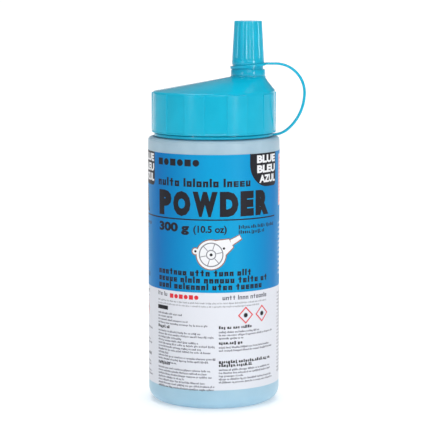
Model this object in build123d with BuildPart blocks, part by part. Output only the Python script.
from build123d import *

import os
from math import atan, cos, degrees, hypot, radians, sin, sqrt

# A squeeze bottle of marking-chalk powder. A screw cap carries an offset pouring spout. A strap ties
# the spout's tip cap to a ring on the screw cap's inner wall, just under its skirt.
# Millimetres. The origin is the centre of the standing ring under the bottle. +Z runs up the
# bottle's axis, +X points to the side of the spout and the strap, and -Y is the label's front.

CLEAR = 1.0  # how far a cutting shape overruns the face it cuts through

# Blow-moulded bottle
BODY_R = 33.0
WALL = 1.1
BASE_WALL = 1.5
BASE_FILLET = 6.5
STAND_IN_R = 22.5  # inner radius of the standing ring
STAND_EDGE_R = 0.8
PUSH_UP = 2.4  # how far the middle of the base is pushed up
PUSH_UP_SLOPE = (3.0, 0.7)  # width of the slope round the push-up, and how much it droops towards it
SEAM_SIZE = (26.0, 1.0)
SEAM_PROUD = 0.9
SHOULDER_Z = 133.3
SHOULDER_RISE = 0.8  # from the body's edge to the neck
SHOULDER_FILLET = 1.7
NECK_R = 26.0
NECK_BORE_R = 24.4
NECK_TOP_Z = 151.5
NECK_EDGE_R = 0.5

# Chalk powder inside
POWDER_GAP = 0.05
POWDER_EDGE_Z = 108.5
POWDER_HEAP = 3.0

# Wrap-round label
LABEL_T = 0.12
LABEL_Z = (10.4, 127.0)
LAP_W = 8.0  # width of the lap seam at the back
LAP_END = 92.0  # where the outer end of the film lies, as a distance round from the front

# Screw thread between the neck and the screw cap
NECK_LEAD = 4.0
NECK_THREAD_H = 1.3
NECK_TURNS = 1.5
NECK_THREAD_Z = 139.6
NECK_THREAD_BEARING = 150.0
THREAD_GAP = 0.3  # radial gap between one side's crest and the other side's root
THREAD_SINK = 0.25  # how far a thread's root is buried in its wall
NECK_ROOT_HALF = 1.0  # half width of the thread's root
CREST_SHARE = 0.45  # width of the crest, as a share of the root's

# Screw cap with its spout
SKIRT_R = 30.75
SKIRT_FOOT_R = 30.95
SKIRT_Z = 136.0
SKIRT_TOP_Z = 154.9
PAD_PROUD = 0.45  # at a pad's edges. Its face is flatter than the skirt, so its middle stands less proud
PAD_CROWN = 0.3
PAD_EDGE_R = 0.35
PAD_ROOT = 1.0  # how deep a pad starts inside the skirt
PAD_COUNT = 9
PAD_ARC = 20.0
PAD_FIRST = 22.0 - 90.0  # bearing of the middle of one grip pad
PAD_TOP_Z = 155.6
RIM_PROUD = 0.25
RIM_H = 0.8
INNER_WALL_R = 28.35  # outside of the threaded inner wall, which also carries the tether's ring
INNER_WALL_Z = 134.1
SNAP_LIP = (28.6, 134.35)  # radius and top of the lip that holds the tether's ring
SKIRT_BORE_R = 29.5  # inside of the outer wall
WALL_GAP_TOP_Z = 150.0
CAP_BORE_R = NECK_R + NECK_THREAD_H + THREAD_GAP
CAP_TURNS = 1.25
CAP_THREAD_Z = NECK_THREAD_Z - NECK_LEAD / 2 + 0.4  # its ridge lies in the groove under the neck's
CAP_THREAD_BEARING = 186.0
SEAT_Z = 152.6  # underside of the land that presses on the gasket
HEADROOM = 1.9  # height of the round space over the gasket's land, under the hollow of the roof

# Sections of the cap's top, from the skirt to the foot of the spout. Each is a circle, given by its
# lowest and its highest point as x, z. The top is straight on the low side and full over the spout's side.
EDGE_SECTIONS = (
    ((-30.75, 154.9), (30.75, 154.9)),
    ((-30.55, 155.7), (30.72, 155.8)),
    ((-29.75, 156.25), (30.6, 156.7)),
)
ROOF_SECTIONS = (
    ((-29.75, 156.25), (30.6, 156.7)),
    ((-22.0, 157.65), (29.1, 158.5)),
    ((-13.0, 159.28), (27.5, 160.5)),
    ((8.3, 163.3), (25.9, 163.3)),
)

# Spout
SPOUT_X = 17.1
SPOUT_BASE_Z = 163.3
COLLAR_R = 8.8  # ridge at the foot of the spout, which the tip cap closes down to
COLLAR_TOP_Z = 163.85
COLLAR_EDGE = 0.25
SPOUT_R = 5.8
SPOUT_TOP_Z = 184.0
SPOUT_TOP_R = 4.1
SPOUT_STRAIGHT_Z = 174.5
COLLAR_SINK = 2.0  # how far the spout's foot reaches down into the roof
ROOF_T = 1.0
BORE_BASE_R = 4.8
BORE_TOP_R = 3.05
SPOUT_AXIS = Axis((SPOUT_X, 0, 0), (0, 0, 1))

# Two-start thread between the spout and the tip cap
TIP_LEAD = 6.0
TIP_STARTS = 2
TIP_THREAD_H = 0.6
TIP_ROOT_HALF = 0.6
TIP_TURNS = 0.55
TIP_THREAD_Z = 169.0
TIP_GAP = 0.2  # radial gap between one side's crest and the other side's root

# Tip cap
TIP_TOP_Z = 191.1
TIP_TOP_R = 6.85
TIP_TOP_EDGE_R = 0.35
TIP_WAIST = (7.94, 171.6)  # foot of the taper, as radius and height
TIP_BEAD = ((7.88, 169.25), (8.07, 170.4))  # low end and crown of the rounded band under the taper
GROOVE_R = 7.6  # groove that the tether's ring lies in
LIP = ((8.5, 163.95), (8.6, 165.6), (8.3, 167.05))  # rounded lip at the foot, up to the groove
TIP_BORE_R = SPOUT_R + TIP_THREAD_H + TIP_GAP
TIP_BORE_TOP_R = 5.5
TIP_ROOF_T = 1.3
PLUG_R = 2.9
PLUG_DEPTH = 3.5  # how far the plug reaches into the spout's mouth
PLUG_EDGE = 0.5
FLUTES = 18
FLUTE_Z = 171.85  # where the flutes' round ends lie
FLUTE_DEPTH = 0.26
FLUTE_TOOL_R = 2.2

# Tether: a ring round the cap's inner wall, a strap, and a ring round the tip cap
NECK_RING = (28.42, 29.95)  # inner and outer radius
NECK_RING_Z = (133.95, 135.5)
NECK_RING_STEP = (28.68, 134.45)  # wider bore below this height, which takes the cap's snap lip
NECK_RING_EDGE_R = 0.45
TIP_RING = (8.25, 8.95)
TIP_RING_T = 1.3
TIP_RING_EDGE_R = 0.25
TIP_RING_Z = 168.75
TIP_RING_TILT = 6.0
STRAP_T = 1.2  # thickness in the plane of its loop
STRAP_W = 2.2  # width across the loop
STRAP_FAR_X = 45.4  # how far out the strap's middle line bulges
STRAP_TOP_R = 14.6
STRAP_SIDE_R = 24.0
STRAP_SIDE_TURN = 50.0
STRAP_FOOT_Z = 134.35
STRAP_TOP_OFFSET = 0.15  # how far the strap's end sits above the middle of the tip ring
STRAP_ROOT = 0.1
STRAP_EDGE_SHARE = 0.4  # rounding of the strap's edges, as a share of its thickness

# Foam gasket in the cap
GASKET_R = (24.4, 27.2)
GASKET_GAP = 0.02


def save(builder, name):
    """Labels a finished piece and writes it as parts/name.step."""
    builder.part.label = name
    export_step(builder.part, f"parts/{name}.step")


def corner_at(sketch, x, y):
    """The corner of a sketch nearest to the point (x, y) of its own plane."""
    return sketch.vertices().sort_by_distance((x, y))[0]


def about_spout(*points):
    """Turns (distance from the spout's axis, height) into points of the XZ plane."""
    return [(SPOUT_X + r, z) for r, z in points]


def helical_ridge(root_r, root_half, height, lead, turns, start_z, bearing, axis_x=0.0):
    """A thread ridge that climbs counter-clockwise. A negative height points it at the axis."""
    crest_half = root_half * CREST_SHARE
    sink = -THREAD_SINK if height > 0 else THREAD_SINK
    with BuildPart() as ridge:
        with BuildLine() as path:
            Helix(pitch=lead, height=lead * turns, radius=root_r)
        helix = path.line
        with BuildSketch(Plane(origin=helix @ 0, x_dir=(1, 0, 0), z_dir=helix % 0)):
            with BuildLine():
                Polyline(
                    (sink, -root_half),
                    (height, -crest_half),
                    (height, crest_half),
                    (sink, root_half),
                    close=True,
                )
            make_face()
        sweep(path=helix, is_frenet=True)
    return ridge.part.moved(Location((axis_x, 0, start_z), (0, 0, bearing)))


def section(low, high):
    """The plane and the radius of the circle that has the two given points across its width."""
    low, high = Vector(low[0], 0, low[1]), Vector(high[0], 0, high[1])
    across = (high - low).normalized()
    plane = Plane(origin=(low + high) / 2, x_dir=across, z_dir=across.cross(Vector(0, 1, 0)))
    return plane, (high - low).length / 2


def cavity_outline(gap, top_z, top_r):
    """Half outline of the space inside the bottle, drawn gap inside its wall, up to top_z."""
    side = BODY_R - WALL - gap
    floor = BASE_WALL + gap
    return [
        (0, PUSH_UP + floor),
        (STAND_IN_R - PUSH_UP_SLOPE[0], PUSH_UP + floor - PUSH_UP_SLOPE[1]),
        (STAND_IN_R, floor),
        (side, floor),
        (side, top_z),
        (top_r, top_z),
    ]


def bottle():
    neck_thread = helical_ridge(
        NECK_R,
        NECK_ROOT_HALF,
        NECK_THREAD_H,
        NECK_LEAD,
        NECK_TURNS,
        NECK_THREAD_Z,
        NECK_THREAD_BEARING,
    )
    with BuildPart() as piece:
        with BuildSketch(Plane.XZ) as outer:
            with BuildLine():
                Polyline(
                    (0, PUSH_UP),
                    (STAND_IN_R - PUSH_UP_SLOPE[0], PUSH_UP - PUSH_UP_SLOPE[1]),
                    (STAND_IN_R, 0),
                    (BODY_R, 0),
                    (BODY_R, SHOULDER_Z),
                    (NECK_R, SHOULDER_Z + SHOULDER_RISE),
                    (NECK_R, NECK_TOP_Z),
                    (0, NECK_TOP_Z),
                    close=True,
                )
            make_face()
            fillet(corner_at(outer, BODY_R, 0), BASE_FILLET)
            fillet(corner_at(outer, BODY_R, SHOULDER_Z), SHOULDER_FILLET)
            fillet(corner_at(outer, STAND_IN_R, 0), STAND_EDGE_R)
            fillet(corner_at(outer, NECK_R, NECK_TOP_Z), NECK_EDGE_R)
        revolve(axis=Axis.Z)
        with BuildSketch(Plane.XZ) as inner:
            with BuildLine():
                Polyline(
                    *cavity_outline(0, SHOULDER_Z - WALL, NECK_BORE_R),
                    (NECK_BORE_R, NECK_TOP_Z + CLEAR),
                    (0, NECK_TOP_Z + CLEAR),
                    close=True,
                )
            make_face()
            fillet(corner_at(inner, BODY_R - WALL, BASE_WALL), BASE_FILLET - WALL)
            fillet(corner_at(inner, BODY_R - WALL, SHOULDER_Z - WALL), SHOULDER_FILLET / 2)
        revolve(axis=Axis.Z, mode=Mode.SUBTRACT)
        add(neck_thread)
        # The pinch-off seam that the mould leaves across the base.
        with BuildSketch(Plane.XY.offset(PUSH_UP - SEAM_PROUD)):
            SlotOverall(*SEAM_SIZE)
        extrude(amount=SEAM_PROUD + BASE_WALL / 4)
    save(piece, "bottle")


def chalk_powder():
    with BuildPart() as piece:
        with BuildSketch(Plane.XZ) as half:
            side = BODY_R - WALL - POWDER_GAP
            with BuildLine():
                *lower, _ = cavity_outline(POWDER_GAP, POWDER_EDGE_Z, 0)
                Polyline(*lower)
                crown = (0, POWDER_EDGE_Z + POWDER_HEAP)
                crown_r = (side**2 + POWDER_HEAP**2) / (2 * POWDER_HEAP)
                RadiusArc((side, POWDER_EDGE_Z), crown, -crown_r)
                Line(crown, lower[0])
            make_face()
            fillet(corner_at(half, side, BASE_WALL + POWDER_GAP), BASE_FILLET - WALL)
        revolve(axis=Axis.Z)
    save(piece, "chalk_powder")


def wrap_label():
    """A closed band, one film thick, and two films thick where its ends lap at the back."""
    height = LABEL_Z[1] - LABEL_Z[0]
    lap_arc = degrees(LAP_W / BODY_R)
    lap_end = degrees(LAP_END / BODY_R) - 90
    with BuildPart() as piece:
        with BuildSketch(Plane.XY.offset(LABEL_Z[0])):
            Circle(BODY_R + LABEL_T)
            Circle(BODY_R, mode=Mode.SUBTRACT)
        extrude(amount=height)
        with BuildSketch(Plane.XZ.rotated((0, 0, lap_end - lap_arc))):
            with Locations((BODY_R + LABEL_T, LABEL_Z[0] + height / 2)):
                Rectangle(LABEL_T * 2, height)
        revolve(axis=Axis.Z, revolution_arc=lap_arc)
    save(piece, "wrap_label")


def cap_gasket():
    with BuildPart() as piece:
        with BuildSketch(Plane.XY.offset(NECK_TOP_Z + GASKET_GAP)):
            Circle(GASKET_R[1])
            Circle(GASKET_R[0], mode=Mode.SUBTRACT)
        extrude(amount=SEAT_Z - NECK_TOP_Z - GASKET_GAP)
    save(piece, "cap_gasket")


def grip_pad():
    """One raised pad of the skirt's grip, with rounded upright edges and a rounded top."""
    half = radians(PAD_ARC / 2)
    outer_r = SKIRT_R + PAD_PROUD
    inner_r = SKIRT_R - PAD_ROOT
    outer_end = (outer_r * cos(half), outer_r * sin(half))
    outer_mid = (outer_end[0] + PAD_CROWN, 0)
    inner_end = (inner_r * cos(half), inner_r * sin(half))
    with BuildPart() as pad:
        with BuildSketch(Plane.XY.offset(SKIRT_Z)) as plan:
            with BuildLine():
                ThreePointArc((outer_end[0], -outer_end[1]), outer_mid, outer_end)
                Polyline(outer_end, inner_end, (inner_end[0], -inner_end[1]), (outer_end[0], -outer_end[1]))
            make_face()
            fillet(plan.vertices().filter_by(lambda corner: corner.X > inner_r), PAD_EDGE_R)
        extrude(amount=PAD_TOP_Z - SKIRT_Z)
        top_edges = pad.edges().group_by(Axis.Z)[-1]
        proud_edges = top_edges.filter_by(lambda edge: hypot(edge.center().X, edge.center().Y) > SKIRT_R)
        fillet(proud_edges, PAD_EDGE_R)
    return pad.part.rotate(Axis.Z, PAD_FIRST)


def cap_inner_wall():
    """The threaded wall inside the skirt. It reaches below the skirt, to the tether ring's lip."""
    with BuildPart() as wall:
        with BuildSketch(Plane.XZ):
            with BuildLine():
                Polyline(
                    (CAP_BORE_R, INNER_WALL_Z),
                    (INNER_WALL_R, INNER_WALL_Z),
                    (SNAP_LIP[0], (INNER_WALL_Z + SNAP_LIP[1]) / 2),
                    (INNER_WALL_R, SNAP_LIP[1]),
                    (INNER_WALL_R, SKIRT_Z + CLEAR),
                    (CAP_BORE_R, SKIRT_Z + CLEAR),
                    close=True,
                )
            make_face()
        revolve(axis=Axis.Z)
    return wall.part


def spout_cap():
    pad = grip_pad()
    inner_wall = cap_inner_wall()
    inner_thread = helical_ridge(
        CAP_BORE_R,
        NECK_ROOT_HALF,
        -NECK_THREAD_H,
        NECK_LEAD,
        CAP_TURNS,
        CAP_THREAD_Z,
        CAP_THREAD_BEARING,
    )
    spout_threads = [
        helical_ridge(
            SPOUT_R,
            TIP_ROOT_HALF,
            TIP_THREAD_H,
            TIP_LEAD,
            TIP_TURNS,
            TIP_THREAD_Z,
            360 / TIP_STARTS * k,
            SPOUT_X,
        )
        for k in range(TIP_STARTS)
    ]
    with BuildPart() as piece:
        # Skirt, with a little draft so that it is widest at its foot.
        with BuildSketch(Plane.XZ):
            with BuildLine():
                Polyline(
                    (0, SKIRT_Z),
                    (SKIRT_FOOT_R, SKIRT_Z),
                    (SKIRT_R, SKIRT_TOP_Z),
                    (0, SKIRT_TOP_Z),
                    close=True,
                )
            make_face()
        revolve(axis=Axis.Z)
        # Rounded edge, and the roof that slants up to the foot of the spout.
        for sections in (EDGE_SECTIONS, ROOF_SECTIONS):
            for low, high in sections:
                plane, radius = section(low, high)
                with BuildSketch(plane):
                    Circle(radius)
            loft()
        # Grip pads and the rim under them.
        with PolarLocations(0, PAD_COUNT):
            add(pad)
        with BuildSketch(Plane.XZ):
            with BuildLine():
                Polyline(
                    (SKIRT_BORE_R, SKIRT_Z),
                    (SKIRT_FOOT_R + RIM_PROUD, SKIRT_Z),
                    (SKIRT_FOOT_R + RIM_PROUD, SKIRT_Z + RIM_H - RIM_PROUD),
                    (SKIRT_FOOT_R, SKIRT_Z + RIM_H),
                    (SKIRT_BORE_R, SKIRT_Z + RIM_H),
                    close=True,
                )
            make_face()
        revolve(axis=Axis.Z)
        # Ridge at the spout's foot, and the spout itself.
        with BuildSketch(Plane.XZ):
            with BuildLine():
                Polyline(
                    *about_spout(
                        (0, SPOUT_BASE_Z - COLLAR_SINK),
                        (COLLAR_R, SPOUT_BASE_Z - COLLAR_SINK),
                        (COLLAR_R, COLLAR_TOP_Z - COLLAR_EDGE),
                        (COLLAR_R - COLLAR_EDGE, COLLAR_TOP_Z),
                        (SPOUT_R, COLLAR_TOP_Z),
                        (SPOUT_R, SPOUT_STRAIGHT_Z),
                        (SPOUT_TOP_R, SPOUT_TOP_Z),
                        (0, SPOUT_TOP_Z),
                    ),
                    close=True,
                )
            make_face()
        revolve(axis=SPOUT_AXIS)
        add(spout_threads)
        # Space between the skirt and the threaded inner wall.
        with BuildSketch(Plane.XY.offset(SKIRT_Z)):
            Circle(SKIRT_BORE_R)
            Circle(INNER_WALL_R, mode=Mode.SUBTRACT)
        extrude(amount=WALL_GAP_TOP_Z - SKIRT_Z, mode=Mode.SUBTRACT)
        add(inner_wall)
        # Inside of the inner wall, up to the land over the gasket.
        with BuildSketch(Plane.XY.offset(INNER_WALL_Z)):
            Circle(CAP_BORE_R)
        extrude(amount=SEAT_Z - INNER_WALL_Z, mode=Mode.SUBTRACT)
        # Hollow under the roof, which narrows to the spout's bore.
        with BuildSketch(Plane.XY.offset(SEAT_Z - CLEAR)):
            Circle(NECK_BORE_R)
        extrude(amount=HEADROOM + CLEAR, mode=Mode.SUBTRACT)
        with BuildSketch(Plane.XY.offset(SEAT_Z + HEADROOM)):
            Circle(NECK_BORE_R)
        with BuildSketch(Plane.XY.offset(SPOUT_BASE_Z - ROOF_T)):
            with Locations((SPOUT_X, 0)):
                Circle(BORE_BASE_R)
        loft(ruled=True, mode=Mode.SUBTRACT)
        with BuildSketch(Plane.XZ):
            with BuildLine():
                Polyline(
                    *about_spout(
                        (0, SPOUT_BASE_Z - ROOF_T),
                        (BORE_BASE_R, SPOUT_BASE_Z - ROOF_T),
                        (BORE_TOP_R, SPOUT_TOP_Z + CLEAR),
                        (0, SPOUT_TOP_Z + CLEAR),
                    ),
                    close=True,
                )
            make_face()
        revolve(axis=SPOUT_AXIS, mode=Mode.SUBTRACT)
        add(inner_thread)
    save(piece, "spout_cap")


def tip_cap():
    bore_threads = [
        helical_ridge(
            TIP_BORE_R,
            TIP_ROOT_HALF,
            -TIP_THREAD_H,
            TIP_LEAD,
            TIP_TURNS,
            TIP_THREAD_Z - TIP_LEAD / TIP_STARTS / 2,
            360 / TIP_STARTS * k,
            SPOUT_X,
        )
        for k in range(TIP_STARTS)
    ]
    taper = (TIP_WAIST[0] - TIP_TOP_R) / (TIP_TOP_Z - TIP_WAIST[1])
    foot_z = LIP[0][1]
    lip_low, lip_mid, lip_high = about_spout(*LIP)
    bead_low, bead_mid, bead_high = about_spout(*TIP_BEAD, TIP_WAIST)
    groove = about_spout((GROOVE_R, LIP[2][1]), (GROOVE_R, TIP_BEAD[0][1]))
    top = about_spout((TIP_TOP_R, TIP_TOP_Z), (0, TIP_TOP_Z), (0, foot_z))
    with BuildPart() as piece:
        with BuildSketch(Plane.XZ) as outline:
            with BuildLine():
                ThreePointArc(lip_low, lip_mid, lip_high)
                Polyline(lip_high, *groove, bead_low)
                ThreePointArc(bead_low, bead_mid, bead_high)
                Polyline(bead_high, *top, lip_low)
            make_face()
            fillet(corner_at(outline, SPOUT_X + TIP_TOP_R, TIP_TOP_Z), TIP_TOP_EDGE_R)
        revolve(axis=SPOUT_AXIS)
        # Grip flutes: round-nosed grooves that run up the taper and out of the top.
        nose_z = FLUTE_Z + sqrt(2 * FLUTE_TOOL_R * FLUTE_DEPTH - FLUTE_DEPTH**2)
        flute_r = TIP_WAIST[0] - taper * (nose_z - TIP_WAIST[1]) + FLUTE_TOOL_R - FLUTE_DEPTH
        with Locations((SPOUT_X, 0)):
            with PolarLocations(flute_r, FLUTES, start_angle=180 / FLUTES):
                with Locations(Location((0, 0, nose_z), (0, -degrees(atan(taper)), 0))):
                    Sphere(FLUTE_TOOL_R, mode=Mode.SUBTRACT)
                    Cylinder(
                        FLUTE_TOOL_R,
                        TIP_TOP_Z - nose_z + CLEAR,
                        align=(Align.CENTER, Align.CENTER, Align.MIN),
                        mode=Mode.SUBTRACT,
                    )
        # Bore, which leaves a plug that stops the spout's mouth.
        plug_z = SPOUT_TOP_Z - PLUG_DEPTH
        with BuildSketch(Plane.XZ):
            with BuildLine():
                Polyline(
                    *about_spout(
                        (0, foot_z),
                        (TIP_BORE_R, foot_z),
                        (TIP_BORE_R, SPOUT_STRAIGHT_Z),
                        (TIP_BORE_TOP_R, TIP_TOP_Z - TIP_ROOF_T),
                        (PLUG_R, TIP_TOP_Z - TIP_ROOF_T),
                        (PLUG_R, plug_z + PLUG_EDGE),
                        (PLUG_R - PLUG_EDGE, plug_z),
                        (0, plug_z),
                    ),
                    close=True,
                )
            make_face()
        revolve(axis=SPOUT_AXIS, mode=Mode.SUBTRACT)
        add(bore_threads)
    save(piece, "tip_cap")


def tether_neck_ring():
    low_z, high_z = NECK_RING_Z
    step_r, step_z = NECK_RING_STEP
    with BuildPart() as piece:
        with BuildSketch(Plane.XZ) as half:
            with BuildLine():
                Polyline(
                    (step_r, low_z),
                    (NECK_RING[1], low_z),
                    (NECK_RING[1], high_z),
                    (NECK_RING[0], high_z),
                    (NECK_RING[0], step_z),
                    (step_r, step_z),
                    close=True,
                )
            make_face()
            fillet(half.vertices().group_by(Axis.X)[-1], NECK_RING_EDGE_R)
        revolve(axis=Axis.Z)
    save(piece, "tether_neck_ring")


def tether_tip_ring():
    """The small ring lies loose in the tip cap's groove, pulled up on the strap's side."""
    lie = Plane(origin=(SPOUT_X, 0, TIP_RING_Z)).rotated((0, -TIP_RING_TILT, 0))
    with BuildPart() as piece:
        with BuildSketch(lie.offset(-TIP_RING_T / 2)):
            Circle(TIP_RING[1])
            Circle(TIP_RING[0], mode=Mode.SUBTRACT)
        extrude(amount=TIP_RING_T)
        outer_edges = piece.edges().filter_by(GeomType.CIRCLE).sort_by(SortBy.RADIUS)[-2:]
        fillet(outer_edges, TIP_RING_EDGE_R)
    save(piece, "tether_tip_ring")


def tether_strap():
    """The strap leaves the tip ring level, bulges out over the skirt and comes back to the neck ring."""
    tilt = radians(TIP_RING_TILT)
    top_x = SPOUT_X + TIP_RING[1] * cos(tilt) - STRAP_ROOT
    top_z = TIP_RING_Z + TIP_RING[1] * sin(tilt) + STRAP_TOP_OFFSET
    foot_x, foot_z = NECK_RING[1] - STRAP_ROOT, STRAP_FOOT_Z
    bulge_x, bulge_z = STRAP_FAR_X, top_z - STRAP_TOP_R
    turn = radians(STRAP_SIDE_TURN)
    side_x = bulge_x - STRAP_SIDE_R * (1 - cos(turn))
    side_z = bulge_z - STRAP_SIDE_R * sin(turn)
    # The last arc runs from the side's direction to level, and lands at the ring's height.
    last_r = (side_z - foot_z) / (1 - sin(turn))
    last_x = side_x - last_r * cos(turn)
    with BuildPart() as piece:
        with BuildLine(Plane.XZ) as path:
            Line((top_x, top_z), (bulge_x - STRAP_TOP_R, top_z))
            RadiusArc((bulge_x - STRAP_TOP_R, top_z), (bulge_x, bulge_z), STRAP_TOP_R)
            RadiusArc((bulge_x, bulge_z), (side_x, side_z), STRAP_SIDE_R)
            RadiusArc((side_x, side_z), (last_x, foot_z), last_r)
            Line((last_x, foot_z), (foot_x, foot_z))
        with BuildSketch(Plane(origin=(top_x, 0, top_z), x_dir=(0, 1, 0), z_dir=(1, 0, 0))):
            RectangleRounded(STRAP_W, STRAP_T, STRAP_T * STRAP_EDGE_SHARE)
        sweep(path=path.line)
        # Each end is cut to the curve of the ring it is moulded to.
        with Locations(Location((SPOUT_X, 0, TIP_RING_Z), (0, -TIP_RING_TILT, 0))):
            Cylinder(TIP_RING[1], 3 * STRAP_W, mode=Mode.SUBTRACT)
        with Locations((0, 0, STRAP_FOOT_Z)):
            Cylinder(NECK_RING[1], 3 * STRAP_W, mode=Mode.SUBTRACT)
    print("strap: length", round(sum(edge.length for edge in path.edges()), 1), "last arc", round(last_r, 2))
    save(piece, "tether_strap")


os.makedirs("parts", exist_ok=True)
bottle()
chalk_powder()
wrap_label()
cap_gasket()
spout_cap()
tip_cap()
tether_neck_ring()
tether_tip_ring()
tether_strap()
